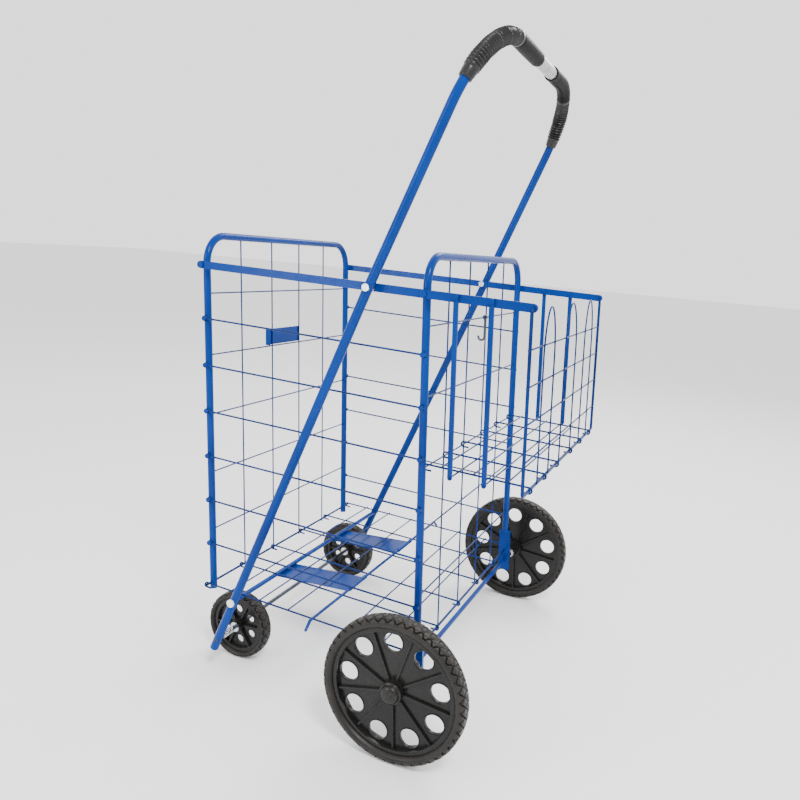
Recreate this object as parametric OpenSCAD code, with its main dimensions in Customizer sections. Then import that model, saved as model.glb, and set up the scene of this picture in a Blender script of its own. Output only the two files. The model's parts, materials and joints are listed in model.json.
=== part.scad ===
// Folding double-basket shopping trolley. Millimetres, +Z up, travel towards -Y,
// origin on the floor under the middle of the trolley. Everything is drawn upright with
// the rear axle at the zero point, and posed() leans it forward until all four wheels
// touch the floor.

/* [Main basket] */
// Distance between the centres of the left and right posts
post_gap = 457; // [420:1:480]
// Distance from the rear posts to the front posts
basket_depth = 382.7; // [340:0.1:400]
// Outside diameter of the frame tubes
post_d = 12; // [11:0.5:13]
// Outside diameter of the mesh wires
mesh_d = 2.5; // [2:0.1:3]
// Outside diameter of the side wires and the long floor wires
wire_d = 3; // [2.5:0.1:3.2]

/* [Rails] */
// Height of the rail pivot on the rear posts above the rear axle
rail_z = 559.3; // [540:0.1:580]
// Rise of the rails, side wires and floor from rear to front
rail_rise = 32.3; // [20:0.1:36]
// Height of a rail's section
rail_h = 12; // [10:0.5:14]
// Distance from the rear posts to the rear end of a rail
rail_tail = 155.5; // [140:0.1:170]

/* [Handle] */
// Outside diameter of the handle tube
handle_d = 14.5; // [13:0.5:16]
// Distance between the centres of the handle's two legs
handle_gap = 516; // [512:1:520]
// Length of the handle from its rail pivot to the middle of the grip bar
handle_top = 381; // [350:1:400]
// Outside diameter of the soft grips
grip_d = 24; // [20:0.5:26]

/* [Wheels] */
// Radius of a rear wheel
rear_r = 111.5; // [100:0.5:115]
// Radius of a front wheel
front_r = 59.5; // [52:0.5:62]

/* [Hidden] */
$fn = 48;
half = post_gap / 2;
hx = handle_gap / 2;
tube_wall = 1.2;
gap = 0.05;
// rail line, and the same slope for every link parallel to it
slope = atan2(rail_rise, basket_depth);
up = [sin(slope), cos(slope)];
front_pivot = [-basket_depth, rail_z + rail_rise];
rail_end = [rail_tail, rail_z - rail_tail * tan(slope)];
// frames
rear_top = rail_z + 52;
rear_foot = -20;
front_top = front_pivot[1] + 46;
front_foot = 42.5;
corner_r = 44;
rear_rows = [513, 411, 306, 209, 108];
front_rows = [546, 446, 347, 248, 148];
post_wires = [-137, -45.5, 45.5, 137];
rear_cross = [0, 21.7];
front_cross = rear_cross + [-basket_depth, rail_rise];
cross_d = 4;
cross_half = half + 22;
label_z = [448, 477];
// side wires
side_rows = [for (i = [0 : 5]) 474 - 76 * i];
eye_d = 9;
eye_x = half + post_d / 2 + 0.4;
rivet_d = 4;
// rails
rail_x = half + 11;
rail_t = 4;
bolt_d = 6;
handle_pivot = [-77, rail_z + 77 * tan(slope)];
bar_y = [49.5, 100];
bar_t = 3;
bar_w = 7;
bar_x = rail_x + rail_t + 0.4;
// handle, leaning by the angle from its rail pivot to the front axle
front_axle = [-352, -31.5];
handle_lean = atan2(handle_pivot[0] - front_axle[0], handle_pivot[1] - front_axle[1]);
handle_foot = norm(handle_pivot - front_axle) + 21;
bend_r = 120;
cross_rod_z = 43.2;
cross_rod = [front_axle[0] + (cross_rod_z - front_axle[1]) * tan(handle_lean), cross_rod_z];
cross_rod_d = 8;
front_axle_d = 7;
front_wheel_x = 197;
// floor grid
hook_r = cross_d / 2 + 0.3 + wire_d / 2;
floor_wires = [-246, -149, -50, 50, 149, 246];
floor_rows = [48, 108, 219, 274, 330];
support_y = -171;
support_d = 5;
support = grid_point(rear_cross, -support_y, hook_r + wire_d / 2 + support_d / 2 - 0.3);
plate_x = 100;
plate_w = 60;
plate_t = 1.2;
// rear basket
panel_d = 5;
panel_x = half + 20;
panel_rod = [rail_end[0], rear_rows[2] - (rail_z - rail_end[1])];
panel_rows = [492, 442, 391, 339];
tray_curl_r = panel_d / 2 + 0.3 + wire_d / 2;
tray_wires = [-214, -132, -50, 50, 132, 214];
weld = 2.2;
bar_lift = tray_curl_r - weld;
tray_rows = [26, 75, 126];
loop_x = [-145.5, 0, 145.5];
loop_half = [32.5, 40.5, 32.5];
loop_top = 545;
// wheels
rear_axle_d = 8;
rear_wheel_x = [293, 323];
rear_hub_end = 316;
hub_cap_x = 331;
// stance: the lean that puts the front wheels on the floor, and the box's middle at y = 0
axle_span = norm(front_axle);
lean = asin((rear_r - front_r) / axle_span) - atan2(-front_axle[1], -front_axle[0]);
front_reach = basket_depth * cos(lean) + front_top * sin(lean) + post_d / 2;
rear_reach = panel_rod[0] * cos(lean) - panel_rod[1] * sin(lean) + tray_curl_r + wire_d / 2;
stance_y = (front_reach - rear_reach) / 2;

// a point on a sloping link: distance forward from its rear pivot, and height above its line
function grid_point(pivot, forward, lift) = pivot + forward * [-1, tan(slope)] + lift * up;

// pivot of a basket bar at distance y behind the posts, on the link that starts at height z
function bar_pivot(y, z) = grid_point([0, z], -y, bar_lift);

module posed() translate([0, stance_y, rear_r]) rotate([lean, 0, 0]) children();

// round bar along X
module bar_x(x0, x1, at, d) translate([x0, at[0], at[1]]) rotate([0, 90, 0]) cylinder(d = d, h = x1 - x0);

// round wire between two points of the YZ plane at a given x
module wire_yz(x, a, b, d)
    translate([x, a[0], a[1]])
        rotate([-atan2(b[0] - a[0], b[1] - a[1]), 0, 0])
            cylinder(d = d, h = norm(b - a));

// part of a ring in the YZ plane, from angle a0 through turn, measured from +Y towards +Z
module arc_yz(x, at, r, d, a0, turn)
    translate([x, at[0], at[1]]) rotate([90, 0, 90]) rotate([0, 0, a0])
        rotate_extrude(angle = turn) translate([r, 0]) circle(d = d);

// inverted U of tube in the XZ plane
module u_tube(y, foot, top, d) {
    side = half - corner_r;
    for (s = [-1, 1]) {
        translate([s * half, y, foot]) cylinder(d = d, h = top - corner_r - foot);
        translate([s * side, y, top - corner_r]) rotate([90, 0, 0]) rotate([0, 0, s > 0 ? 0 : 90])
            rotate_extrude(angle = 90) translate([corner_r, 0]) circle(d = d);
    }
    translate([-side, y, top]) rotate([0, 90, 0]) cylinder(d = d, h = 2 * side);
}

module hollow_u(y, foot, top) {
    difference() {
        u_tube(y, foot, top, post_d);
        u_tube(y, foot - 1, top, post_d - 2 * tube_wall);
        children();
    }
}

// welded mesh: upright wires in front of level wires trimmed to the tube, and a cross wire
// that runs on through the legs
module mesh(y, rows, cross, top, foot) {
    difference() {
        union() {
            for (z = rows) bar_x(-half, half, [y, z], mesh_d);
            for (x = post_wires) translate([x, y - 1.9, foot]) cylinder(d = mesh_d, h = top - foot);
        }
        u_tube(y, foot, top, post_d);
    }
    bar_x(-cross_half, cross_half, cross, cross_d);
}

// long floor wire: straight, with an open curl round the cross wire at each end
module hooked_wire(x, rear, front, r) {
    tail = 9;
    run = norm(front - rear);
    translate([x, rear[0], rear[1]]) rotate([-slope, 0, 0]) {
        translate([0, 0, r]) rotate([90, 0, 0]) cylinder(d = wire_d, h = run);
        for (end = [0, 1]) translate([0, -end * run, 0]) rotate([0, 0, end * 180]) {
            arc_yz(0, [0, 0], r, wire_d, -90, 180);
            translate([0, 0, -r]) rotate([90, 0, 0]) cylinder(d = wire_d, h = tail);
        }
    }
}

// domed rivet on the outside of a post, its shank through the whole post
module rivet(y, z, d, head_x, head_d, head_t) {
    bar_x(half - post_d / 2, head_x, [y, z], d);
    bar_x(head_x, head_x + head_t, [y, z], head_d);
}

module mirrored() {
    children();
    mirror([1, 0, 0]) children();
}

module rear_frame_tube() color("royalblue") posed() {
    shoe_w = 22;
    shoe_h = 84;
    tube_foot = 60;
    hollow_u(0, tube_foot, rear_top) {
        for (z = side_rows) bar_x(-half - 20, half + 20, [0, z], rivet_d);
        bar_x(-half - 20, half + 20, [0, rail_z], bolt_d);
    }
    // flattened lower end of each leg, drilled for the axle and the cross wire
    for (s = [-1, 1]) difference() {
        translate([s * half - 3, -shoe_w / 2, rear_foot]) cube([6, shoe_w, shoe_h]);
        bar_x(-half - 20, half + 20, [0, 0], rear_axle_d);
        bar_x(-half - 20, half + 20, rear_cross, cross_d);
    }
}

module rear_frame_mesh() color("steelblue") posed()
    mesh(0, rear_rows, rear_cross, rear_top, rear_cross[1] - 4);

module rear_axle() color("royalblue") posed() bar_x(-hub_cap_x + 7, hub_cap_x - 7, [0, 0], rear_axle_d);

module rear_axle_washers() color("silver") posed() mirrored() {
    washers = [[half + 3.2, half + 5], [rear_wheel_x[0] - 22.4, rear_wheel_x[0] - 20.2]];
    for (w = washers) difference() {
        bar_x(w[0], w[1], [0, 0], 17);
        bar_x(w[0] - 1, w[1] + 1, [0, 0], rear_axle_d);
    }
    difference() {
        bar_x(washers[0][1], washers[1][0], [0, 0], 12);
        bar_x(washers[0][1] - 1, washers[1][0] + 1, [0, 0], rear_axle_d);
    }
}

// triangular stiffening web between the leg and the axle, inboard of each leg
module axle_gussets() color("royalblue") posed() mirrored() difference() {
    translate([half - 3, 0, 0]) rotate([90, 0, 180]) translate([0, 0, -1])
        linear_extrude(2) polygon([[0, 0], [0, 16], [18, 0]]);
    bar_x(half - 30, half, [0, 0], rear_axle_d);
}

// pivot bolt through a post, with a spacer up to the rail and a head outside it
module rail_bolts(at) mirrored() {
    rivet(at[0], at[1], bolt_d, rail_x + rail_t + 0.3, 11, 2.4);
    difference() {
        bar_x(half, rail_x - 0.3, at, 9);
        translate([half, at[0], at[1] - post_d]) cylinder(d = post_d, h = 2 * post_d);
    }
}

module rear_rail_bolts() color("silver") posed() rail_bolts([0, rail_z]);

module front_rail_bolts() color("silver") posed() rail_bolts(front_pivot);

module wire_rivets(y, rise) mirrored()
    for (z = side_rows) rivet(y, z + rise, rivet_d, eye_x + wire_d + 0.3, 8, 1.8);

module rear_wire_rivets() color("silver") posed() wire_rivets(0, 0);

module front_wire_rivets() color("silver") posed() wire_rivets(-basket_depth, rail_rise);

module storage_hook() color("dimgray") posed() {
    x = -35;
    at = [0, rear_rows[0]];
    throat = 5.5;
    shank = 34;
    difference() {
        union() {
            bar_x(x - 3.5, x + 3.5, at, 8);
            translate([x, at[0], at[1] - shank]) cylinder(d = 4, h = shank);
            arc_yz(x, at - [throat, shank], throat, 4, 0, -200);
        }
        bar_x(x - 4, x + 4, at, mesh_d + 2 * gap);
    }
}

// flat rail with round ends, drilled for its pivots, the handle and the basket bars
module rail(side) {
    difference() {
        translate([rail_x, 0, rail_z]) rotate([-slope, 0, 0]) union() {
            length = norm(front_pivot - rail_end);
            tail = rail_tail / cos(slope);
            translate([0, tail - length, -rail_h / 2]) cube([rail_t, length, rail_h]);
            for (y = [tail, tail - length]) translate([0, y, 0]) rotate([0, 90, 0]) cylinder(d = rail_h, h = rail_t);
        }
        for (at = [front_pivot, [0, rail_z]]) bar_x(rail_x - 1, rail_x + rail_t + 1, at, bolt_d + 2 * gap);
        bar_x(rail_x - 1, rail_x + rail_t + 1, handle_pivot, bolt_d + 2 * gap);
        bar_x(rail_x - 1, rail_x + rail_t + 1, rail_end, panel_d + 2 * gap);
        for (y = bar_y) bar_x(rail_x - 1, rail_x + rail_t + 1, bar_pivot(y, rail_z), rivet_d);
    }
}

module rail_right() color("royalblue") posed() rail();

module rail_left() color("royalblue") posed() mirror([1, 0, 0]) rail();

// bolt with a chrome head outside the handle and a shoulder between handle and rail
module handle_bolts() color("silver") posed() mirrored() {
    bar_x(rail_x - 3.6, hx + handle_d / 2 + 0.4, handle_pivot, bolt_d);
    bar_x(rail_x - 3.6, rail_x - 0.4, handle_pivot, 11);
    bar_x(hx + handle_d / 2 + 0.4, hx + handle_d / 2 + 3, handle_pivot, 11);
    difference() {
        bar_x(rail_x + rail_t + 0.4, hx, handle_pivot, 10);
        handle_leg(handle_d);
    }
}

module basket_bar_rivets() color("silver") posed() mirrored() for (y = bar_y) {
    at = bar_pivot(y, rail_z);
    bar_x(rail_x - 2, bar_x + bar_t + 0.4, at, rivet_d);
    bar_x(rail_x - 2, rail_x, at, 8);
    bar_x(bar_x + bar_t + 0.4, bar_x + bar_t + 2, at, 8);
}

// side wire with a flat eye at each end, turning on the post rivets
module side_wire(z) {
    rear = [0, z];
    front = [-basket_depth, z + rail_rise];
    difference() {
        union() {
            wire_yz(eye_x + wire_d / 2, rear, front, wire_d);
            for (at = [rear, front]) bar_x(eye_x, eye_x + wire_d, at, eye_d);
        }
        for (at = [rear, front]) bar_x(eye_x - 1, eye_x + wire_d + 1, at, rivet_d + 2 * gap);
    }
}

module side_wire_right(i) color("steelblue") posed() side_wire(side_rows[i]);

module side_wire_left(i) color("steelblue") posed() mirror([1, 0, 0]) side_wire(side_rows[i]);

module front_frame_tube() color("royalblue") posed()
    hollow_u(-basket_depth, front_foot, front_top) {
        for (z = side_rows) bar_x(-half - 20, half + 20, [-basket_depth, z + rail_rise], rivet_d);
        bar_x(-half - 20, half + 20, front_pivot, bolt_d);
        bar_x(-half - 20, half + 20, front_cross, cross_d);
    }

module front_frame_mesh() color("steelblue") posed()
    mesh(-basket_depth, front_rows, front_cross, front_top, front_cross[1] - 6);

module blank_label_plate() color("royalblue") posed() {
    y = -basket_depth - 1.9 - mesh_d / 2 - 1.2;
    translate([-49, y, label_z[0]]) cube([112, 1.2, label_z[1] - label_z[0]]);
    translate([61.8, y, label_z[0]]) cube([1.2, 10, label_z[1] - label_z[0]]);
}

module floor_grid() color("steelblue") posed() {
    for (x = floor_wires) hooked_wire(x, rear_cross, front_cross, hook_r);
    for (y = floor_rows) bar_x(-247, 247, grid_point(rear_cross, y, hook_r + weld), mesh_d);
}

// thick rod across the grid with its two ends bent down
module grid_support_rod() color("royalblue") posed() difference() {
    end = 260;
    union() {
        bar_x(-end, end, support, support_d);
        mirrored() translate([end - 1, support[0], support[1]]) rotate([0, 130, 0])
            cylinder(d = support_d, h = 18);
    }
    for (x = floor_wires)
        wire_yz(x, rear_cross + hook_r * up, front_cross + hook_r * up, wire_d);
}

// sheet plate rolled round the support rod, with a folded lip in front of the cross rod
module link_plate() {
    knuckle = support_d / 2 + gap;
    lip = cross_rod_d / 2 + 0.6;
    sink = 0.15;
    run = support - cross_rod;
    reach = norm(run) + lip + plate_t;
    tilt = atan2(run[1], run[0]) + asin((lip - knuckle) / norm(run));
    difference() {
        union() {
            bar_x(plate_x - plate_w / 2, plate_x + plate_w / 2, support, 2 * (knuckle + plate_t));
            translate([plate_x - plate_w / 2 - 1, support[0], support[1]]) rotate([tilt, 0, 0])
                translate([0, -reach, sink - knuckle - plate_t]) {
                    cube([plate_w + 2, reach, plate_t]);
                    cube([plate_w + 2, plate_t, lip]);
                }
        }
        bar_x(plate_x - plate_w, plate_x + plate_w, support, 2 * knuckle);
    }
}

module link_plate_right() color("cornflowerblue") posed() link_plate();

module link_plate_left() color("cornflowerblue") posed() mirror([1, 0, 0]) link_plate();

// handle coordinates: s runs up the leaning legs from the rail pivot
module in_handle() translate([0, handle_pivot[0], handle_pivot[1]]) rotate([-handle_lean, 0, 0]) children();

module handle_leg(d) in_handle() translate([hx, 0, -handle_foot]) cylinder(d = d, h = handle_foot + handle_top - bend_r);

module handle_path(d) in_handle() {
    for (s = [-1, 1]) {
        translate([s * hx, 0, -handle_foot]) cylinder(d = d, h = handle_foot + handle_top - bend_r);
        translate([s * (hx - bend_r), 0, handle_top - bend_r]) rotate([90, 0, 0]) rotate([0, 0, s > 0 ? 0 : 90])
            rotate_extrude(angle = 90) translate([bend_r, 0]) circle(d = d);
    }
    translate([-hx + bend_r, 0, handle_top]) rotate([0, 90, 0]) cylinder(d = d, h = 2 * (hx - bend_r));
}

module handle_tube() color("royalblue") posed() difference() {
    handle_path(handle_d);
    handle_path(handle_d - 2 * tube_wall);
    bar_x(-hx - 20, hx + 20, handle_pivot, bolt_d);
    bar_x(-hx - 20, hx + 20, cross_rod, cross_rod_d);
    bar_x(-hx - 20, hx + 20, front_axle, front_axle_d);
}

module cross_rod() color("royalblue") posed() bar_x(-hx - handle_d / 2 - 1, hx + handle_d / 2 + 1, cross_rod, cross_rod_d);

module cross_rod_caps() color("white") posed() mirrored() {
    x = hx + handle_d / 2 + 1;
    bar_x(x, x + 3, cross_rod, 13);
}

module front_axle_rod() color("royalblue") posed() bar_x(-hx - handle_d / 2, hx + handle_d / 2, front_axle, front_axle_d);

// compression spring between each leg and its front wheel, as a row of turns
module front_axle_springs() color("silver") posed() mirrored() {
    turns = 7;
    pitch = 4.6;
    for (i = [0 : turns - 1]) translate([hx - handle_d / 2 - 3 - i * pitch, front_axle[0], front_axle[1]])
        rotate([0, 90, 0]) rotate_extrude() translate([front_axle_d / 2 + 1.2, 0]) circle(d = 2.3, $fn = 24);
}

module front_axle_washers() color("silver") posed() mirrored()
    for (x = [front_wheel_x + 14.2, front_wheel_x - 16.2]) difference() {
        bar_x(x, x + 2, front_axle, 17);
        bar_x(x - 1, x + 3, front_axle, front_axle_d);
    }

// part of the bend on one side, from the leg (0) to the bar (90)
module bend_arc(from, to, d) translate([hx - bend_r, 0, handle_top - bend_r]) rotate([90, 0, 0])
    rotate([0, 0, from]) rotate_extrude(angle = to - from) translate([bend_r, 0]) circle(d = d);

module handle_side(d) {
    bend_arc(0, 90, d);
    translate([0, 0, handle_top]) rotate([0, 90, 0]) cylinder(d = d, h = hx - bend_r);
}

// sleeve from an angle of the bend up to the bar and on along the bar to x0
module bend_sleeve(x0, from) posed() in_handle() difference() {
    union() {
        bend_arc(0, 90, grip_d);
        translate([x0, 0, handle_top]) rotate([0, 90, 0]) cylinder(d = grip_d, h = hx - bend_r - x0);
    }
    handle_side(handle_d);
    translate([hx - bend_r, -grip_d, handle_top - bend_r]) rotate([0, -from, 0])
        translate([0, 0, -hx]) cube([hx, 2 * grip_d, hx]);
}

module ribbed_grip_right() color("dimgray") bend_sleeve(133, 22);

module ribbed_grip_left() color("dimgray") mirror([1, 0, 0]) posed() in_handle() difference() {
    bend_arc(17, 66, grip_d);
    handle_side(handle_d);
}

module smooth_grip_right() color("dimgray") posed() in_handle() difference() {
    translate([22.4, 0, handle_top]) rotate([0, 90, 0]) cylinder(d = grip_d, h = 110.5);
    handle_side(handle_d);
}

module smooth_grip_left() color("dimgray") mirror([1, 0, 0]) bend_sleeve(63, 66.1);

module wheel(at, x0, x1, hub_end, rim_r, bore_d, hub_r, windows, window_r, ring_r) {
    mid = (x0 + x1) / 2;
    lip = (x1 - x0) / 5;
    phase = 1.5;
    rib_end = min(hub_end - 2, x1 - lip - 1);
    difference() {
        union() {
            difference() {
                bar_x(x0 + lip, x1 - lip, at, 2 * rim_r);
                bar_x(x0, x1, at, 2 * (rim_r - 7));
            }
            bar_x(mid - 2, mid + 2, at, 2 * rim_r - 8);
            bar_x(x0 - 1, hub_end, at, 2 * hub_r);
            for (i = [0 : windows - 1]) translate([0, at[0], at[1]]) rotate([(i + 0.5) * 360 / windows + phase, 0, 0])
                translate([x0 + lip + 1, -1.5, 0]) cube([rib_end - x0 - lip - 1, 3, rim_r - 4]);
        }
        bar_x(x0 - 9, x1 + 9, at, bore_d + 2 * gap);
        for (i = [0 : windows - 1]) translate([0, at[0], at[1]]) rotate([i * 360 / windows + phase, 0, 0])
            translate([mid - 3, 0, ring_r]) rotate([0, 90, 0]) cylinder(r = window_r, h = 6);
    }
}

module tyre(at, x0, x1, outer_r, inner_r) {
    shoulder = 4;
    translate([0, at[0], at[1]]) rotate([0, 90, 0]) rotate_extrude() polygon([
        [inner_r, x0 + shoulder], [inner_r + shoulder, x0], [outer_r - shoulder, x0],
        [outer_r, x0 + shoulder], [outer_r, x1 - shoulder], [outer_r - shoulder, x1],
        [inner_r + shoulder, x1], [inner_r, x1 - shoulder]]);
}

module rear_wheel() wheel([0, 0], rear_wheel_x[0], rear_wheel_x[1], rear_hub_end, rear_r - 15, rear_axle_d, 17, 9, 14.5, 73);

module rear_wheel_right() color("dimgray") posed() {
    rear_wheel();
    hub_sleeve();
}

module rear_wheel_left() color("dimgray") posed() mirror([1, 0, 0]) {
    rear_wheel();
    hub_sleeve();
}

// inner boss of a rear wheel, reaching towards the leg
module hub_sleeve() difference() {
    bar_x(rear_wheel_x[0] - 20, rear_wheel_x[0] - 1, [0, 0], 24);
    bar_x(rear_wheel_x[0] - 21, rear_wheel_x[0], [0, 0], rear_axle_d + 2 * gap);
}

module rear_tyre_right() color("black") posed() tyre([0, 0], rear_wheel_x[0], rear_wheel_x[1], rear_r, rear_r - 15);

module rear_tyre_left() color("black") posed() mirror([1, 0, 0])
    tyre([0, 0], rear_wheel_x[0], rear_wheel_x[1], rear_r, rear_r - 15);

// domed cap over the axle end, fixed to the axle
module rear_hub_caps() color("black") posed() mirrored() {
    crown = 4;
    difference() {
        bar_x(hub_cap_x - 14.7, hub_cap_x - crown, [0, 0], 34);
        bar_x(hub_cap_x - 16, hub_cap_x - 7, [0, 0], rear_axle_d);
    }
    translate([hub_cap_x - crown, 0, 0]) rotate([0, 90, 0]) cylinder(d1 = 34, d2 = 22, h = crown);
}

module front_wheel() wheel(front_axle, front_wheel_x - 13, front_wheel_x + 13, front_wheel_x + 12, front_r - 10,
    front_axle_d, 11, 6, 7, 28);

module front_wheel_right() color("dimgray") posed() front_wheel();

module front_wheel_left() color("dimgray") posed() mirror([1, 0, 0]) front_wheel();

module front_tyre() tyre(front_axle, front_wheel_x - 13, front_wheel_x + 13, front_r, front_r - 10);

module front_tyre_right() color("black") posed() front_tyre();

module front_tyre_left() color("black") posed() mirror([1, 0, 0]) front_tyre();

// wire bend in a plane of constant y: turns from angle a0 about a centre in X and Z
module bend_xz(x, y, z, r, d, a0, turn)
    translate([x, y, z]) rotate([90, 0, 0]) rotate([0, 0, a0])
        rotate_extrude(angle = turn) translate([r, 0]) circle(d = d);

// tall wire loop standing on the panel's bottom rod, drawn in to a narrow crown
module panel_loop(x, spread) {
    y = rail_end[0] + 1.9;
    knee_z = panel_rows[0] - 4;
    crown = 9;
    rise = loop_top - knee_z;
    slant = norm([spread - crown, rise]);
    over = mesh_d / 3;
    for (side = [-1, 1]) translate([x + side * spread, y, 0]) {
        translate([0, 0, panel_rod[1]]) cylinder(d = mesh_d, h = knee_z - panel_rod[1] + over);
        translate([0, 0, knee_z]) rotate([0, -side * atan2(spread - crown, rise), 0])
            translate([0, 0, -over]) cylinder(d = mesh_d, h = slant + 2 * over);
    }
    bar_x(x - crown - over, x + crown + over, [y, loop_top], mesh_d);
}

module basket_back_panel() color("steelblue") posed() {
    corner = 5;
    y = rail_end[0];
    mirrored() {
        translate([panel_x, y, panel_rod[1] + corner])
            cylinder(d = panel_d, h = rail_end[1] - panel_rod[1] - 2 * corner);
        bend_xz(panel_x - corner, y, rail_end[1] - corner, corner, panel_d, 0, 90);
        bend_xz(panel_x - corner, y, panel_rod[1] + corner, corner, panel_d, 270, 90);
        bar_x(rail_x - 1.5, panel_x - corner, rail_end, panel_d);
    }
    bar_x(-panel_x + corner, panel_x - corner, panel_rod, panel_d);
    for (z = panel_rows) bar_x(-panel_x - 8, panel_x + 8, [y, z], mesh_d);
    for (i = [0 : 2]) panel_loop(loop_x[i], loop_half[i]);
}

module basket_tray() color("steelblue") posed() {
    hook = [0, rear_rows[2]];
    for (x = tray_wires) hooked_wire(x, panel_rod, hook, tray_curl_r);
    for (y = tray_rows) bar_x(-215, 215, grid_point(hook, -y, tray_curl_r + weld), mesh_d);
    for (y = bar_y) bar_x(-bar_x - bar_t - 2, bar_x + bar_t + 2, bar_pivot(y, hook[1]), mesh_d);
}

// flat bar hanging from a rail, its foot on the end of a tray wire
module basket_bar(i) {
    top = bar_pivot(bar_y[i], rail_z);
    foot = bar_pivot(bar_y[i], rear_rows[2]);
    difference() {
        union() {
            translate([bar_x, top[0] - bar_w / 2, foot[1]]) cube([bar_t, bar_w, top[1] - foot[1]]);
            for (at = [top, foot]) bar_x(bar_x, bar_x + bar_t, at, bar_w);
        }
        bar_x(bar_x - 1, bar_x + bar_t + 1, top, rivet_d + 2 * gap);
        bar_x(bar_x - 1, bar_x + bar_t + 1, foot, mesh_d + 2 * gap);
    }
}

module basket_bar_front_right() color("royalblue") posed() basket_bar(0);

module basket_bar_front_left() color("royalblue") posed() mirror([1, 0, 0]) basket_bar(0);

module basket_bar_rear_right() color("royalblue") posed() basket_bar(1);

module basket_bar_rear_left() color("royalblue") posed() mirror([1, 0, 0]) basket_bar(1);

rear_frame_tube();
rear_frame_mesh();
rear_axle();
rear_axle_washers();
axle_gussets();
rear_rail_bolts();
rear_wire_rivets();
storage_hook();
rail_left();
rail_right();
handle_bolts();
basket_bar_rivets();
side_wire_left(0);  // side_wire_left_1
side_wire_left(1);  // side_wire_left_2
side_wire_left(2);  // side_wire_left_3
side_wire_left(3);  // side_wire_left_4
side_wire_left(4);  // side_wire_left_5
side_wire_left(5);  // side_wire_left_6
side_wire_right(0);  // side_wire_right_1
side_wire_right(1);  // side_wire_right_2
side_wire_right(2);  // side_wire_right_3
side_wire_right(3);  // side_wire_right_4
side_wire_right(4);  // side_wire_right_5
side_wire_right(5);  // side_wire_right_6
front_frame_tube();
front_frame_mesh();
front_rail_bolts();
front_wire_rivets();
blank_label_plate();
floor_grid();
grid_support_rod();
link_plate_left();
link_plate_right();
handle_tube();
cross_rod();
cross_rod_caps();
front_axle_rod();
front_axle_springs();
front_axle_washers();
ribbed_grip_left();
ribbed_grip_right();
smooth_grip_left();
smooth_grip_right();
rear_wheel_left();
rear_wheel_right();
rear_tyre_left();
rear_tyre_right();
rear_hub_caps();
front_wheel_left();
front_wheel_right();
front_tyre_left();
front_tyre_right();
basket_back_panel();
basket_tray();
basket_bar_front_left();
basket_bar_front_right();
basket_bar_rear_left();
basket_bar_rear_right();
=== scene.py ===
import json
import math

import bpy
from mathutils import Matrix, Vector

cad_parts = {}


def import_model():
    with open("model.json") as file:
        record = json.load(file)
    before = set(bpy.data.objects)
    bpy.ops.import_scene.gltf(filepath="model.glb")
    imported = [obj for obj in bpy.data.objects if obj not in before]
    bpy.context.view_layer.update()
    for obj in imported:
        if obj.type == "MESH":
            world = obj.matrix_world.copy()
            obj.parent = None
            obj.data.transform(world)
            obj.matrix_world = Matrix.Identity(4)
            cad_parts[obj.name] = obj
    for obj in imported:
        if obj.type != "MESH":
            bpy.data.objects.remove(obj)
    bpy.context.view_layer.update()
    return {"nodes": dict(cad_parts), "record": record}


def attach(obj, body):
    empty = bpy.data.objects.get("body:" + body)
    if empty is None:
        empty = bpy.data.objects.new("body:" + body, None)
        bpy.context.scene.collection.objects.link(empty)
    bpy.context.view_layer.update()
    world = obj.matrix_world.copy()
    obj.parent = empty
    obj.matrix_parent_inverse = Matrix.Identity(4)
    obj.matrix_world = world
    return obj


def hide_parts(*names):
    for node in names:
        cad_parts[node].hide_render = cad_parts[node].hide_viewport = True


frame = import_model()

# ---------------------------------------------------------------- dimensions, millimetres
# the cart is drawn upright, then leaned forward and lifted onto its wheels
LEAN = math.radians(3.34748)
STANCE = 140.672
REAR_R, FRONT_R = 111.5, 59.5
REAR_SEAT_R, FRONT_SEAT_R = 96.5, 49.5
REAR_AXLE, FRONT_AXLE = (0, 0), (-352.0, -31.5)
# the handle: pivot and lean of its legs, height of the bar up the legs, bend, half the straight bar
HANDLE_X = 258.0
HANDLE_PIVOT = (-77.0, 565.799)
HANDLE_LEAN = math.radians(24.7216)
HANDLE_TOP = 380.5
BEND_R = 120.6
BEND_TURN = math.radians(88.18)
BAR_HALF = 129.07
SPLAY = 0.0065
# from the pivot up to the bend, from the middle of the bar back to the pivot, from the pivot to the foot
LEG_RUN = 263.87
LEG_END = BAR_HALF + BEND_R * BEND_TURN + LEG_RUN
FOOT = math.dist(HANDLE_PIVOT, FRONT_AXLE) + 21
# the rear basket's panel: upper and lower rod, half its width
RAIL_END = (155.5, 546.176)
PANEL_ROD = (155.5, 292.876)
PANEL_HALF = 248.5
SIDES = ((1, "right"), (-1, "left"))


def world(x, y, z):
    """A point of the upright drawing, in mm, as a point of the row frame in metres."""
    return Vector((x, STANCE + y * math.cos(LEAN) - z * math.sin(LEAN),
                   REAR_R + y * math.sin(LEAN) + z * math.cos(LEAN))) / 1000


def on_handle(x, s, off=0.0):
    """x across, s up the leg from the rail pivot, off behind it."""
    y = HANDLE_PIVOT[0] + s * math.sin(HANDLE_LEAN) + off * math.cos(HANDLE_LEAN)
    z = HANDLE_PIVOT[1] + s * math.cos(HANDLE_LEAN) - off * math.sin(HANDLE_LEAN)
    return world(x, y, z)


def handle_at(side, d):
    """Point of the bent tube at a distance d from the middle of the bar; the legs splay a little."""
    turn = min(BEND_TURN, max(0.0, (d - BAR_HALF) / BEND_R))
    past = max(0.0, d - BAR_HALF - BEND_R * BEND_TURN)
    x = min(d, BAR_HALF) + BEND_R * math.sin(turn) + past * math.cos(BEND_TURN)
    s = HANDLE_TOP - BEND_R * (1 - math.cos(turn)) - past * math.sin(BEND_TURN)
    return on_handle(side * x, s, SPLAY * max(0.0, s))


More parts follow.
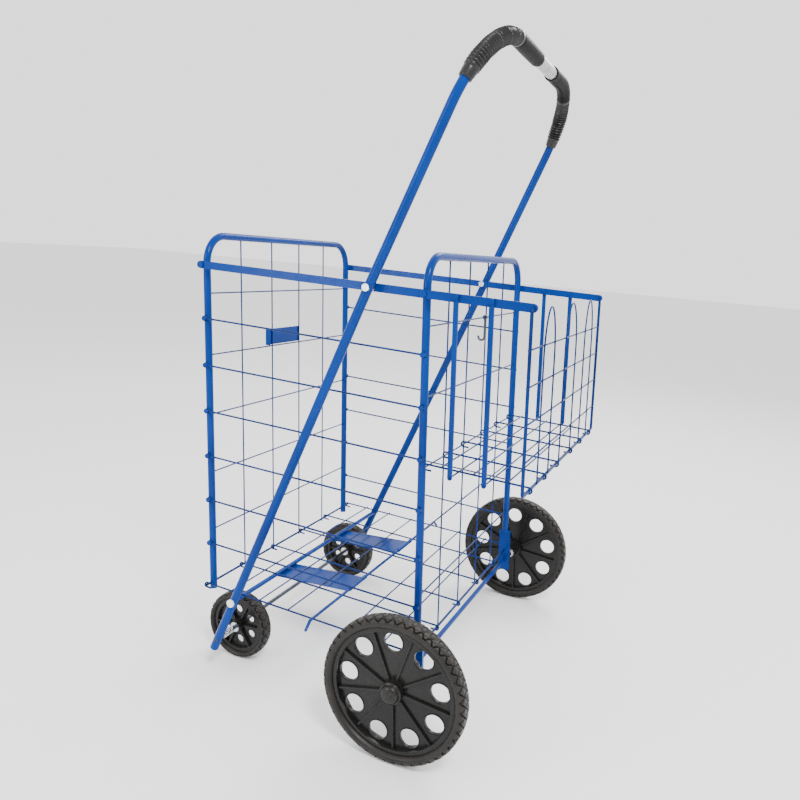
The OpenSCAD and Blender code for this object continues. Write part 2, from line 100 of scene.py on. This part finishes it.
def smooth(v, lo, hi):
    """0 below lo, 1 above hi, an even S between."""
    t = min(1.0, max(0.0, (v - lo) / (hi - lo)))
    return t * t * (3 - 2 * t)


# ---------------------------------------------------------------- shader nodes
def noise(tree, where, **settings):
    """Noise texture's grey output, on the given coordinates or, with None, on the default ones."""
    n = tree.nodes.new("ShaderNodeTexNoise")
    for key, value in settings.items():
        n.inputs[key].default_value = value
    if where is not None:
        tree.links.new(where, n.inputs["Vector"])
    return n.outputs["Fac"]


def ramp(tree, value, dark, light, low, high):
    """Colour between dark and light as value goes from low to high."""
    n = tree.nodes.new("ShaderNodeValToRGB")
    for stop, place, colour in zip(n.color_ramp.elements, (low, high), (dark, light)):
        stop.position = place
        stop.color = (*colour, 1)
    tree.links.new(value, n.inputs["Fac"])
    return n.outputs["Color"]


def remap(tree, value, from_min, from_max, to_min=0.0, to_max=1.0):
    n = tree.nodes.new("ShaderNodeMapRange")
    n.inputs["From Min"].default_value = from_min
    n.inputs["From Max"].default_value = from_max
    n.inputs["To Min"].default_value = to_min
    n.inputs["To Max"].default_value = to_max
    tree.links.new(value, n.inputs["Value"])
    return n.outputs["Result"]


def maths(tree, operation, first, second):
    """Math node of a socket and a second socket or number."""
    n = tree.nodes.new("ShaderNodeMath")
    n.operation = operation
    tree.links.new(first, n.inputs[0])
    if isinstance(second, float):
        n.inputs[1].default_value = second
    else:
        tree.links.new(second, n.inputs[1])
    return n.outputs[0]


def blend(tree, colour, other, factor):
    """Colour socket mixed with another socket or a fixed colour, by a factor socket."""
    n = tree.nodes.new("ShaderNodeMix")
    n.data_type = "RGBA"
    a, b = [s for s in n.inputs if s.type == "RGBA"]
    tree.links.new(colour, a)
    if isinstance(other, tuple):
        b.default_value = (*other, 1)
    else:
        tree.links.new(other, b)
    tree.links.new(factor, n.inputs["Factor"])
    return [s for s in n.outputs if s.type == "RGBA"][0]


def split_axis(tree, vector, axis):
    n = tree.nodes.new("ShaderNodeSeparateXYZ")
    tree.links.new(vector, n.inputs[0])
    return n.outputs[axis]


# ---------------------------------------------------------------- materials
DUST = (0.30, 0.28, 0.25)
BUMP_HEIGHT = 0.0004


def material(name, dark, light, rough, rough_spread, scale, metallic=0.0, bump=0.0, bump_scale=400.0,
             speck=None, specular=0.5, dust=0.0):
    """Painted, plated, moulded or soft surface: broad colour drift, fine grain, wear and dust."""
    m = bpy.data.materials.new(name)
    m.use_nodes = True
    t = m.node_tree
    p = t.nodes["Principled BSDF"]
    p.inputs["Metallic"].default_value = metallic
    p.inputs["Specular IOR Level"].default_value = specular
    co = t.nodes.new("ShaderNodeTexCoord").outputs["Object"]
    drift = noise(t, co, Scale=scale, Detail=4.0, Roughness=0.6)
    colour = ramp(t, drift, dark, light, 0.32, 0.68)
    if dust:
        # pale dust that gathers on faces turned up, broken by noise
        normal = t.nodes.new("ShaderNodeNewGeometry").outputs["Normal"]
        film = noise(t, co, Scale=90.0, Detail=6.0, Roughness=0.7)
        settled = maths(t, "MULTIPLY", split_axis(t, normal, "Z"), film)
        colour = blend(t, colour, DUST, remap(t, settled, 0.15, 0.75, 0.0, dust))
    if speck:
        # sparse small chips and rub marks
        chips = noise(t, co, Scale=260.0, Detail=3.0, Roughness=0.55)
        where = noise(t, co, Scale=14.0, Detail=2.0)
        gate = remap(t, maths(t, "MULTIPLY", chips, where), 0.475, 0.50)
        colour = blend(t, colour, speck, gate)
    t.links.new(colour, p.inputs["Base Color"])
    grain = noise(t, co, Scale=scale * 7, Detail=5.0, Roughness=0.65)
    gloss = remap(t, grain, 0.3, 0.7, max(0.02, rough - rough_spread), rough + rough_spread)
    t.links.new(gloss, p.inputs["Roughness"])
    if bump:
        fine = noise(t, co, Scale=bump_scale, Detail=3.0, Roughness=0.6)
        b = t.nodes.new("ShaderNodeBump")
        b.inputs["Strength"].default_value = bump
        b.inputs["Distance"].default_value = BUMP_HEIGHT
        t.links.new(fine, b.inputs["Height"])
        t.links.new(b.outputs["Normal"], p.inputs["Normal"])
    return m


BLUE = dict(dark=(0.0005, 0.021, 0.145), light=(0.0008, 0.036, 0.230), rough=0.20, rough_spread=0.06,
            scale=5.0, bump=0.02, bump_scale=220.0, speck=(0.005, 0.02, 0.07), specular=0.12)
PAINT = material("blue_paint", **BLUE)
WIRE = material("blue_wire", (0.0004, 0.011, 0.072), (0.0008, 0.024, 0.150), 0.30, 0.08, 9.0,
                bump=0.03, bump_scale=300.0, speck=(0.004, 0.012, 0.04), specular=0.12)
BRIGHT = material("bright_hardware", (0.50, 0.51, 0.54), (0.78, 0.79, 0.82), 0.20, 0.08, 60.0,
                  metallic=1.0, bump=0.15, bump_scale=900.0)
# dark steel: the storage hook's own colour; on the front axle rod the dark is painted shade, for the
# shaded gaps between the spring's coils
DARK_STEEL_AND_PAINTED_SHADE = material("dark_steel", (0.030, 0.036, 0.050), (0.085, 0.100, 0.130), 0.30, 0.10, 50.0,
                 metallic=0.8, bump=0.10)
WHITE = material("white_caps", (0.72, 0.73, 0.76), (0.86, 0.87, 0.88), 0.30, 0.06, 40.0,
                 bump=0.08, bump_scale=600.0)
GRIP = material("grip_rubber", (0.0070, 0.0065, 0.0070), (0.0140, 0.0130, 0.0135), 0.30, 0.05, 26.0,
                specular=0.36, dust=0.02)
SLEEVE = material("smooth_sleeve", (0.0075, 0.0070, 0.0075), (0.0150, 0.0140, 0.0145), 0.42, 0.05, 26.0,
                  specular=0.03)
WHEEL = material("wheel_plastic", (0.0065, 0.0062, 0.0060), (0.0125, 0.0118, 0.0112), 0.26, 0.07, 18.0,
                 bump=0.06, bump_scale=330.0, specular=0.24, dust=0.02)
TYRE = material("tyre_rubber", (0.0085, 0.0074, 0.0064), (0.0175, 0.0152, 0.0132), 0.42, 0.08, 22.0,
                bump=0.12, bump_scale=400.0, specular=0.25, dust=0.05)


def bare_middle(m):
    """The unpainted stretch of the handle between the sleeves, pale: high up and near the middle."""
    t = m.node_tree
    base = t.nodes["Principled BSDF"].inputs["Base Color"]
    co = t.nodes.new("ShaderNodeTexCoord").outputs["Object"]
    high = maths(t, "GREATER_THAN", split_axis(t, co, "Z"), 0.99)
    across = t.nodes.new("ShaderNodeMath")
    across.operation = "ABSOLUTE"
    t.links.new(split_axis(t, co, "X"), across.inputs[0])
    near = maths(t, "LESS_THAN", across.outputs[0], 0.08)
    film = noise(t, co, Scale=70.0, Detail=4.0, Roughness=0.6)
    pale = ramp(t, film, (0.37, 0.362, 0.375), (0.49, 0.48, 0.495), 0.3, 0.7)
    painted = base.links[0].from_socket
    t.links.new(blend(t, painted, pale, maths(t, "MULTIPLY", high, near)), base)
    return m


HANDLE_PAINT = bare_middle(material("handle_paint", **BLUE))

BY_SLOT = {"blue_paint": PAINT, "blue_wire": WIRE, "bright_hardware": BRIGHT, "dark_steel": DARK_STEEL_AND_PAINTED_SHADE,
           "white_caps": WHITE, "grip_rubber": GRIP, "wheel_plastic": WHEEL, "tyre_rubber": TYRE}
SLOT_OF = {p["node"]: p["material_slot"] for p in frame["record"]["subparts"]}
BODY_OF = {n: b for b, ns in frame["record"]["behaviour"]["bodies"].items() for n in ns}

# edge softening of the CAD pieces, metres
BEVEL = {"rail_left": 0.0012, "rail_right": 0.0012, "blank_label_plate": 0.0004, "link_plate_left": 0.0004,
         "link_plate_right": 0.0004, "rear_frame_tube": 0.0010, "cross_rod_caps": 0.0009,
         "rear_rail_bolts": 0.0008, "front_rail_bolts": 0.0008, "rear_wire_rivets": 0.0008,
         "front_wire_rivets": 0.0008, "handle_bolts": 0.0008, "basket_bar_rivets": 0.0006,
         "rear_wheel_left": 0.0006, "rear_wheel_right": 0.0006, "front_wheel_left": 0.0005,
         "front_wheel_right": 0.0005, "rear_axle_washers": 0.0005, "front_axle_washers": 0.0004,
         "basket_bar_front_left": 0.0007, "basket_bar_front_right": 0.0007, "basket_bar_rear_left": 0.0007,
         "basket_bar_rear_right": 0.0007, "axle_gussets": 0.0003, "storage_hook": 0.0004,
         "front_frame_tube": 0.0006}

for name, obj in frame["nodes"].items():
    obj.data.materials.clear()
    obj.data.materials.append(BY_SLOT[SLOT_OF[name]])
    obj.data.shade_smooth()
    obj.data.set_sharp_from_angle(angle=math.radians(32))
    if name in BEVEL:
        soft = obj.modifiers.new("soft_edge", "BEVEL")
        soft.width = BEVEL[name]
        soft.segments = 3
        soft.limit_method = "ANGLE"
        soft.angle_limit = math.radians(38)


# ---------------------------------------------------------------- mesh builders
def mesh_object(name, verts, faces, mat, sharp=40):
    me = bpy.data.meshes.new(name)
    me.from_pydata([tuple(v) for v in verts], [], faces)
    me.validate()
    me.update()
    me.shade_smooth()
    me.set_sharp_from_angle(angle=math.radians(sharp))
    me.materials.append(mat)
    o = bpy.data.objects.new(name, me)
    bpy.context.scene.collection.objects.link(o)
    return o


def tube(points, radius, sides, closed=False, ends=True):
    """Vertices and faces of a round sweep; radius in metres is a number or a function of the index."""
    n = len(points)
    pts = [Vector(p) for p in points]
    tan = []
    for i in range(n):
        a = pts[(i - 1) % n] if closed or i > 0 else pts[i]
        b = pts[(i + 1) % n] if closed or i < n - 1 else pts[i]
        tan.append((b - a).normalized())
    ref = Vector((0, 0, 1)) if abs(tan[0].z) < 0.9 else Vector((1, 0, 0))
    normal = tan[0].cross(ref).normalized()
    verts = []
    for i in range(n):
        if i:
            axis = tan[i - 1].cross(tan[i])
            if axis.length > 1e-9:
                turn = Matrix.Rotation(tan[i - 1].angle(tan[i]), 3, axis.normalized())
                normal = (turn @ normal).normalized()
        side = tan[i].cross(normal).normalized()
        r = radius(i) if callable(radius) else radius
        for k in range(sides):
            a = 2 * math.pi * k / sides
            verts.append(pts[i] + r * (math.cos(a) * normal + math.sin(a) * side))
    faces = []
    for i in range(n if closed else n - 1):
        j = (i + 1) % n
        for k in range(sides):
            l = (k + 1) % sides
            faces.append((i * sides + k, i * sides + l, j * sides + l, j * sides + k))
    if ends and not closed:
        faces.append(tuple(range(sides - 1, -1, -1)))
        faces.append(tuple((n - 1) * sides + k for k in range(sides)))
    return verts, faces


def merge(parts):
    verts, faces = [], []
    for v, f in parts:
        base = len(verts)
        verts += list(v)
        faces += [tuple(i + base for i in q) for q in f]
    return verts, faces


def turned(at, profile, steps, side, shaped=None):
    """Solid of revolution about the X axis through at (y, z); profile is a list of (x, r) in mm."""
    verts, faces = [], []
    n = len(profile)
    for i in range(steps):
        a = 2 * math.pi * i / steps
        for j, (x, r) in enumerate(profile):
            if shaped:
                x, r = shaped(a, j, x, r)
            verts.append(world(side * x, at[0] + r * math.cos(a), at[1] + r * math.sin(a)))
    for i in range(steps):
        k = (i + 1) % steps
        for j in range(n - 1):
            q = (i * n + j, k * n + j, k * n + j + 1, i * n + j + 1)
            faces.append(q if side > 0 else q[::-1])
    return verts, faces


def put(obj, node):
    """A detailed piece that stands for one CAD node and moves with its body."""
    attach(obj, BODY_OF[node])
    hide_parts(node)


def extra(obj, body):
    """A small addition that rides a body and stands for no CAD node."""
    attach(obj, body)


# ---------------------------------------------------------------- tyres with a diamond block tread
STEPS_PER_BLOCK = 14
# power that squares the section's shoulders off, share of the width left at the seat
SQUARENESS, SEAT_WIDTH = 0.55, 0.80


def tyre(name, at, x0, x1, outer, inner, blocks, depth, side, across):
    mid = (x0 + x1) / 2
    hw = (x1 - x0) / 2
    profile = []
    for j in range(across + 1):
        t = math.pi * j / across
        c, s = math.cos(t), math.sin(t)
        r = inner + (outer - inner) * abs(s) ** SQUARENESS
        tuck = SEAT_WIDTH + (1 - SEAT_WIDTH) * smooth(r, inner - 1, inner + 5)
        profile.append((mid - hw * tuck * math.copysign(abs(c) ** SQUARENESS, c), r))
    arc = [0.0]
    for j in range(across):
        arc.append(arc[-1] + math.dist(profile[j], profile[j + 1]))
    middle = arc[-1] / 2
    profile.append(profile[0])
    arc.append(arc[0])
    pitch = 2 * math.pi * outer / blocks

    def treaded(a, j, x, r):
        """Two slanting sets of grooves leave diamond blocks; a thin ring stands below them."""
        s = (arc[j] - middle) / pitch
        u = blocks * a / (2 * math.pi)
        g1 = abs((u + 0.95 * s) % 1.0 - 0.5)
        g2 = abs((u - 0.95 * s) % 1.0 - 0.5)
        block = smooth(0.5 - g1, 0.045, 0.085) * smooth(0.5 - g2, 0.045, 0.085)
        tread = smooth(r, inner + 0.46 * (outer - inner), inner + 0.66 * (outer - inner))
        cut = depth * (1 - block) * tread / hw
        bead = 0.35 * (smooth(r, inner + 2.2, inner + 3.0) - smooth(r, inner + 3.6, inner + 4.4)) / hw
        k = 1 - cut - 0.02 + bead * 0.5
        return mid + (x - mid) * min(1.0, k), inner + (r - inner) * (1 - cut * hw / (outer - inner))

    v, f = turned(at, profile, blocks * STEPS_PER_BLOCK, side, treaded)
    return mesh_object(name, v, f, TYRE, sharp=60)


for side, word in SIDES:
    put(tyre(f"rear_tread_{word}", REAR_AXLE, 293, 323, REAR_R, REAR_SEAT_R, 46, 2.3, side, 34),
        f"rear_tyre_{word}")
    put(tyre(f"front_tread_{word}", FRONT_AXLE, 184, 210, FRONT_R, FRONT_SEAT_R, 26, 2.0, side, 26),
        f"front_tyre_{word}")


# ---------------------------------------------------------------- rims, hub caps
FIRST_WINDOW = 91.5


def ring(at, x, r, thick, side, steps):
    """Rounded lip: a torus about the axle."""
    prof = [(x + thick * math.cos(a), r + thick * math.sin(a))
            for a in [2 * math.pi * k / 10 for k in range(11)]]
    return turned(at, prof, steps, side)


def hole_lip(at, x, ring_r, angle, r, thick):
    """Torus round one window of a wheel, standing on the web."""
    pts = []
    for k in range(36):
        a = 2 * math.pi * k / 36
        y = ring_r * math.cos(angle) + r * math.cos(a)
        z = ring_r * math.sin(angle) + r * math.sin(a)
        pts.append(world(x, at[0] + y, at[1] + z))
    return tube(pts, thick / 1000, sides=8, closed=True)


def lips(name, at, side, rims, steps, faces, count, ring_r, r, thick):
    """All rounded lips of one wheel: rims are (x, radius, thickness), faces the x of the web's faces."""
    parts = [ring(at, x, rim_r, rim_thick, side, steps) for x, rim_r, rim_thick in rims]
    for i in range(count):
        angle = math.radians(FIRST_WINDOW + i * 360 / count)
        parts += [hole_lip(at, side * x, ring_r, angle, r, thick) for x in faces]
    v, f = merge(parts)
    return mesh_object(name, v, f, WHEEL)


REAR_RIMS = ((300.2, 93.1, 1.1), (300.2, 96.6, 0.8), (315.8, 93.1, 1.1), (315.8, 96.6, 0.8))
FRONT_RIMS = ((190.2, 47.1, 0.9), (203.8, 47.1, 0.9))
REAR_WEB, FRONT_WEB = (305.8, 310.2), (194.9, 199.1)
for side, word in SIDES:
    rear = lips(f"rear_rim_lips_{word}", REAR_AXLE, side, REAR_RIMS, 120, REAR_WEB, 9, 73, 15.3, 0.9)
    extra(rear, f"rear_wheel_{word}")
    front = lips(f"front_rim_lips_{word}", FRONT_AXLE, side, FRONT_RIMS, 80, FRONT_WEB, 6, 28, 7.7, 0.7)
    extra(front, f"front_wheel_{word}")

# half section of the domed cap, from its skirt to its middle
CAP = [(316.3, 4.2), (316.3, 16.4), (316.9, 17.0), (321.2, 17.0), (322.2, 16.2), (322.5, 14.6),
       (323.2, 14.2), (325.4, 13.6), (327.3, 12.0), (328.6, 9.6), (329.2, 7.0), (329.4, 5.6),
       (330.2, 5.2), (330.8, 4.2), (331.0, 2.4), (331.0, 0.01)]
v, f = merge([turned(REAR_AXLE, CAP, 72, side) for side, word in SIDES])
put(mesh_object("domed_hub_caps", v, f, WHEEL, sharp=50), "rear_hub_caps")


# ---------------------------------------------------------------- handle and its sleeves
# places along one half of the tube, from its foot to the middle of the bar, measured up from the pivot
LAST_LEG_SPOT = 263.8
spots = [-FOOT, -FOOT + 0.7, -FOOT + 2.5, -FOOT / 2, -30.0, -2.0]
spots += [LAST_LEG_SPOT * i / 30 for i in range(1, 31)]
spots += [LEG_RUN + BEND_R * BEND_TURN * i / 60 for i in range(1, 60)]
spots += [LEG_END - BAR_HALF + BAR_HALF * i / 30 for i in range(31)]


def tube_spot(side, t):
    return on_handle(side * HANDLE_X, t) if t < 0 else handle_at(side, LEG_END - t)


def tube_radius(t):
    """Plain on the legs, a little fuller where the sleeves and the bare middle are."""
    return (7.25 - 0.7 * smooth(-t, FOOT - 0.8, FOOT) + 2.2 * smooth(t, 400, 440)) / 1000


line = [tube_spot(1, t) for t in spots] + [tube_spot(-1, t) for t in reversed(spots[:-1])]
radii = [tube_radius(t) for t in spots] + [tube_radius(t) for t in reversed(spots[:-1])]
v, f = tube(line, lambda i: radii[i], sides=40)
put(mesh_object("bent_handle", v, f, HANDLE_PAINT, sharp=60), "handle_tube")


def sleeve_path(side, d0, d1, step):
    """Points and distances run from d0 to d1 along the bent tube."""
    n = int(abs(d1 - d0) / step)
    run = [abs(d1 - d0) * i / n for i in range(n + 1)]
    way = math.copysign(1.0, d1 - d0)
    return [handle_at(side, d0 + way * r) for r in run], run


def ribbed_sleeve(side, leg, seam):
    """From the leg round the bend to the seam, with ribs between a plain cuff and a plain end."""
    pts, run = sleeve_path(side, leg, seam, 0.62)
    total = run[-1]

    def radius(i):
        d = run[i]
        wave = 0.5 - 0.5 * math.cos(2 * math.pi * (d - 17) / 5.1)
        amount = smooth(d, 15, 20) * (1 - smooth(d, total - 9, total - 6))
        amount *= 1 - 0.55 * smooth(d, total - 46, total - 20)
        r = 9.8 + 0.9 * smooth(d, 0, 13) + 2.1 * smooth(d, 13, 19)
        r -= 0.9 * smooth(d, total - 46, total - 20)
        r -= amount * 3.2 * (wave ** 0.7)
        r -= 0.7 * (1 - smooth(d, 0, 1.4))
        r -= 0.9 * smooth(d, total - 1.6, total)
        return r / 1000

    return tube(pts, radius, sides=32)


def smooth_sleeve(side, seam, bare, flare):
    """Swells a little, with a rounded lip and an open mouth at the bare tube."""
    start = seam - 0.2
    pts, run = sleeve_path(side, start, bare, 1.2)
    total = run[-1]

    def radius(i):
        d = run[i]
        r = 11.55 + 0.3 * math.sin(math.pi * d / total)
        r -= 1.0 * (1 - smooth(d, 0, 2.4))
        r += flare * (smooth(d, total - 12, total - 3))
        r -= 0.9 * smooth(d, total - 3.2, total)
        return min(r, 12.0) / 1000

    outside = tube(pts, radius, sides=40, ends=False)
    inward = [handle_at(side, bare + i) for i in range(7)]
    mouth = tube(inward, lambda i: (10.9 - 1.0 * smooth(i, 0, 2)) / 1000, sides=40, ends=False)
    behind = [handle_at(side, start + 0.02 * i) for i in range(2)]
    back = tube(behind, lambda i: (10.75 - 1.9 * i) / 1000, sides=40, ends=False)
    return merge([outside, mouth, back])


# distance from the bar's middle: end on the leg, seam between the sleeves, end at the bare middle; flare
SLEEVES = ((279.4, 133.2, 22.6, 0.0), (291.5, 187.3, 63.2, 0.7))
for (side, word), (leg, seam, bare, flare) in zip(SIDES, SLEEVES):
    v, f = ribbed_sleeve(side, leg, seam)
    put(mesh_object(f"ribbed_sleeve_{word}", v, f, GRIP, sharp=70), f"ribbed_grip_{word}")
    v, f = smooth_sleeve(side, seam, bare, flare)
    put(mesh_object(f"smooth_sleeve_{word}", v, f, SLEEVE, sharp=70), f"smooth_grip_{word}")


# ---------------------------------------------------------------- coil springs on the front axle
COILS, COIL_LENGTH, COIL_START, COIL_R, COIL_WIRE_R = 7.0, 27.6, 247.7, 4.75, 1.05
STEPS_PER_COIL = 26
parts = []
for side, word in SIDES:
    steps = int(COILS * STEPS_PER_COIL)
    pts = []
    for i in range(steps + 1):
        w = i / steps
        # closed end turns, open ones between
        lead = w + 0.045 * math.sin(4 * math.pi * w) / (2 * math.pi)
        a = 2 * math.pi * COILS * w
        pts.append(world(side * (COIL_START - COIL_LENGTH * lead), FRONT_AXLE[0] + COIL_R * math.cos(a),
                         FRONT_AXLE[1] + COIL_R * math.sin(a)))
    parts.append(tube(pts, COIL_WIRE_R / 1000, sides=10))
v, f = merge(parts)
put(mesh_object("coil_springs", v, f, BRIGHT), "front_axle_springs")


# ---------------------------------------------------------------- rear basket's back panel
def bezier(p0, p1, p2, p3, n):
    out = []
    for i in range(n + 1):
        t = i / n
        out.append(tuple((1 - t) ** 3 * a + 3 * (1 - t) ** 2 * t * b + 3 * (1 - t) * t * t * c + t ** 3 * d
                         for a, b, c, d in zip(p0, p1, p2, p3)))
    return out


def corner(cx, cz, r, a0, a1):
    """Quarter bend of a rod in nine points, angles in degrees."""
    turns = [math.radians(a0 + (a1 - a0) * i / 8) for i in range(9)]
    return [(cx + r * math.cos(a), cz + r * math.sin(a)) for a in turns]


depth, top = RAIL_END
low = PANEL_ROD[1]
outline = [(238.2, top)] + corner(PANEL_HALF - 5, top - 5, 5, 90, 0)
outline += corner(PANEL_HALF - 5, low + 5, 5, 0, -90)
outline += [(-x, z) for x, z in reversed(outline)]
parts = [tube([world(x, depth, z) for x, z in outline], 0.0025, sides=20)]
for z in (492, 442, 391, 339):
    parts.append(tube([world(x, depth, z) for x in (-256.5, -255.9, 255.9, 256.5)],
                      lambda i: (0.9 if i in (0, 3) else 1.25) / 1000, sides=16))
# the three loops: middle across, half width
for x, spread in ((-145.5, 32.5), (0, 40.5), (145.5, 32.5)):
    rise = bezier((spread, 470), (spread, 512), (spread * 0.52, 545), (0, 545), 22)
    path = [(spread, low)] + rise
    path += [(-u, z) for u, z in reversed(path[:-1])]
    parts.append(tube([world(x + u, depth + 1.9, z) for u, z in path], 0.00125, sides=14))
v, f = merge(parts)
put(mesh_object("arched_back_panel", v, f, WIRE), "basket_back_panel")


# ---------------------------------------------------------------- stage
FLOOR_GREY = 0.97
floor_paint = bpy.data.materials.new("pale_floor")
floor_paint.use_nodes = True
tree = floor_paint.node_tree
surface = tree.nodes["Principled BSDF"]
shade = ramp(tree, noise(tree, None, Scale=3.0, Detail=3.0),
             (FLOOR_GREY * 0.985, FLOOR_GREY * 0.985, FLOOR_GREY * 0.99), (FLOOR_GREY,) * 3, 0.0, 1.0)
tree.links.new(shade, surface.inputs["Base Color"])
surface.inputs["Roughness"].default_value = 0.8
surface.inputs["Specular IOR Level"].default_value = 0.2

bpy.ops.mesh.primitive_plane_add(size=40, location=(0, 0, 0))
floor = bpy.context.object
floor.name = "studio_floor"
floor.data.materials.append(floor_paint)

studio = bpy.data.worlds.new("studio")
bpy.context.scene.world = studio
studio.use_nodes = True
tree = studio.node_tree
background = tree.nodes["Background"]
background.inputs["Color"].default_value = (1.0, 1.0, 1.0, 1)
# a bright backdrop behind the cart and a dimmer room on the other side
facing = tree.nodes.new("ShaderNodeVectorMath")
facing.operation = "DOT_PRODUCT"
facing.inputs[1].default_value = (-0.91, -0.41, 0.0)
tree.links.new(tree.nodes.new("ShaderNodeTexCoord").outputs["Generated"], facing.inputs[0])
fade = tree.nodes.new("ShaderNodeMapRange")
fade.interpolation_type = "SMOOTHSTEP"
for key, value in (("From Min", -0.35), ("From Max", 0.65), ("To Min", 1.30), ("To Max", 1.85)):
    fade.inputs[key].default_value = value
tree.links.new(facing.outputs["Value"], fade.inputs["Value"])
tree.links.new(fade.outputs["Result"], background.inputs["Strength"])


def area(name, at, size, energy):
    """Rectangular light aimed at the middle of the cart."""
    d = bpy.data.lights.new(name, "AREA")
    d.shape = "RECTANGLE"
    d.size, d.size_y = size
    d.energy = energy
    o = bpy.data.objects.new(name, d)
    o.location = at
    o.rotation_euler = (Vector((0, 0, 0.45)) - Vector(at)).to_track_quat("-Z", "Y").to_euler()
    bpy.context.scene.collection.objects.link(o)


area("key", (1.5, 1.3, 2.7), (0.7, 0.7), 85)
area("fill", (2.4, -1.4, 1.3), (0.7, 1.8), 30)
area("back", (-2.0, 0.4, 2.4), (1.4, 1.4), 45)

# ---------------------------------------------------------------- camera at the calibrated place
CAMERA_AT = (1185.8, 399.0, 594.2)
IMAGE_PX, FOCAL_PX, CENTRE_PX = 800, 735.95, (400.9, 396.7)
az, el, roll = math.radians(114.458), math.radians(9.954), math.radians(1.388)
fwd = Vector((-math.sin(az) * math.cos(el), math.cos(az) * math.cos(el), -math.sin(el)))
level = Vector((math.cos(az), math.sin(az), 0))
over = level.cross(fwd)
right = level * math.cos(roll) + over * math.sin(roll)
up = -level * math.sin(roll) + over * math.cos(roll)
tilt = Matrix.Rotation(LEAN, 3, "X")
fwd, right, up = tilt @ fwd, tilt @ right, tilt @ up
cam = bpy.data.cameras.new("camera")
cam.sensor_width = 36
cam.lens = FOCAL_PX / IMAGE_PX * 36
cam.clip_start = 0.02
cam.shift_x = -(CENTRE_PX[0] - IMAGE_PX / 2) / IMAGE_PX
cam.shift_y = (CENTRE_PX[1] - IMAGE_PX / 2) / IMAGE_PX
cam_obj = bpy.data.objects.new("camera", cam)
rot = Matrix((right, up, -fwd)).transposed().to_4x4()
cam_obj.matrix_world = Matrix.Translation(world(*CAMERA_AT)) @ rot
bpy.context.scene.collection.objects.link(cam_obj)
bpy.context.scene.camera = cam_obj

bpy.context.view_layer.update()
